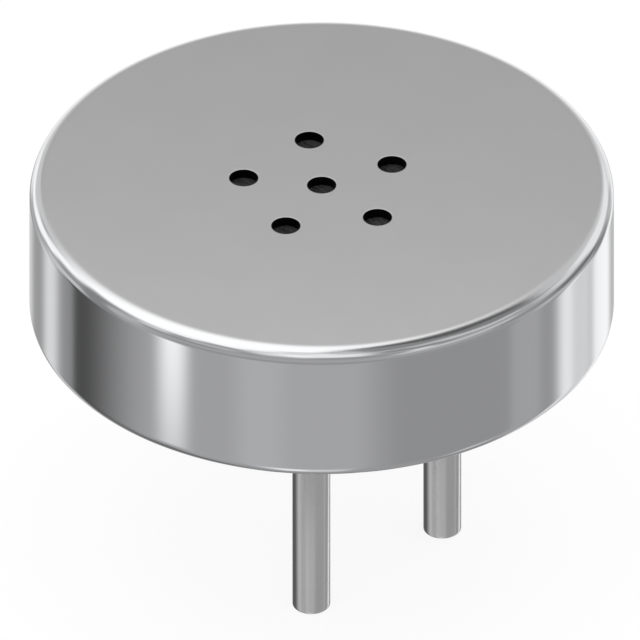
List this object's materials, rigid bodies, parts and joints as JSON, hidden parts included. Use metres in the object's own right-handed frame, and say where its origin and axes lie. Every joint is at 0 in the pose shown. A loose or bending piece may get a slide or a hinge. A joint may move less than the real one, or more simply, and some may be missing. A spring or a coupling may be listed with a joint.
{
  "type": "electret microphone capsule",
  "caption": "Flat round electret microphone capsule in a drawn aluminium cup, with sound holes in its face and solder pins at its rear.",
  "frame": {"origin": "on the cup's axis, in the plane of the rolled rear lip, which rests on the user's board", "axes": "+Z along the cup's axis and out of the face with the sound holes, +X along the row of pins from the output pin to the ground pin, -Y towards the row of pins"},
  "size_m": [0.006, 0.006, 0.0044],
  "materials": {
    "case_aluminium": "satin on the face, glossy on the drawn wall",
    "pin_metal": "tinned",
    "solder": "bright solder",
    "copper": "gold-flashed copper",
    "board": "glass-epoxy board with solder mask",
    "cloth": "black non-woven",
    "film": "thin metallised film",
    "ring_brass": "plain stamped brass",
    "insulator": "moulded, off-white",
    "moulding": "black moulding compound",
    "capacitor_ceramic": "fired ceramic",
    "component_metal": "tinned"
  },
  "bodies": {
    "root": {"case": "case_aluminium", "dust_cloth": "cloth", "diaphragm_ring": "ring_brass", "diaphragm": "film", "spacer_ring": "insulator", "electret_film": "film", "back_plate": "ring_brass", "chamber_ring": "insulator", "gate_ring": "ring_brass", "circuit_board": "board", "rear_ground_copper": "copper", "rear_output_pad": "copper", "gate_track": "copper", "output_track": "copper", "ground_track": "copper", "transistor_body": "moulding", "gate_lead": "component_metal", "drain_lead": "component_metal", "source_lead": "component_metal", "capacitor_1_body": "capacitor_ceramic", "capacitor_1_output_cap": "component_metal", "capacitor_1_ground_cap": "component_metal", "capacitor_2_body": "capacitor_ceramic", "capacitor_2_output_cap": "component_metal", "capacitor_2_ground_cap": "component_metal", "output_pin": "pin_metal", "ground_pin": "pin_metal", "output_rear_solder": "solder", "ground_rear_solder": "solder", "output_inner_solder": "solder", "ground_inner_solder": "solder"}
  },
  "joints": []
}
